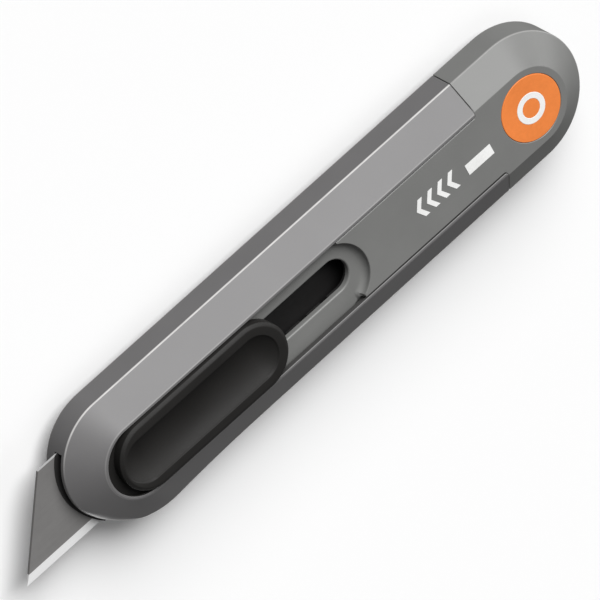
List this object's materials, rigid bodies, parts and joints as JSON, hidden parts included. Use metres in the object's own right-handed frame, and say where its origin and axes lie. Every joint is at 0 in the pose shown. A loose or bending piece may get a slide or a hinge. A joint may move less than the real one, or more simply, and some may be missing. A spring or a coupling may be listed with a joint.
{
  "type": "utility knife",
  "caption": "Flat retractable utility knife with a chamfered cast body, U-shaped front sleeve, dished thumb slider and a trapezoid blade that slides out of the nose.",
  "frame": {"origin": "on the flat back face, under the centre of the rear end's round", "axes": "+X towards the blade tip, +Y towards the cutting edge (spine towards -Y), +Z out of the side face with the thumb slider"},
  "size_m": [0.1481, 0.03, 0.0159],
  "materials": {
    "body_grey": "satin",
    "sleeve_grey": "satin",
    "badge_orange": "satin",
    "print_white": "matte",
    "pad_black": "soft matte",
    "button_black": "matte",
    "blade_steel": "ground",
    "plate_steel": "rolled",
    "spring_steel": "rolled",
    "screw_steel": "satin",
    "magnet_nickel": "bright",
    "shoe_nylon": "matte"
  },
  "bodies": {
    "handle": {"body_shell": "body_grey", "back_shell": "body_grey", "nose_sleeve": "sleeve_grey", "badge_disc": "badge_orange", "badge_ring": "print_white", "side_marks": "print_white", "lock_rack": "plate_steel", "rack_rivets": "plate_steel", "blade_bed": "plate_steel", "spare_blades": "blade_steel", "spare_magnet": "magnet_nickel", "body_screws": "screw_steel", "sleeve_screws": "screw_steel"},
    "carrier": {"blade_carrier": "plate_steel", "carrier_shoes": "shoe_nylon", "blade": "blade_steel", "leaf_spring": "spring_steel"},
    "button": {"thumb_pad": "pad_black", "button_core": "button_black", "lock_plate": "plate_steel", "button_screws": "screw_steel"}
  },
  "joints": [
    {"name": "blade_slide", "type": "slide", "parent": "handle", "child": "carrier", "axis": [1, 0, 0], "range_m": [-0.0215, 0]},
    {"name": "pad_press", "type": "slide", "parent": "carrier", "child": "button", "axis": [0, 0, -1], "range_m": [0, 0.0006], "stiffness_N_per_m": 1500, "springref_m": -0.001, "deforming": ["leaf_spring"]}
  ]
}
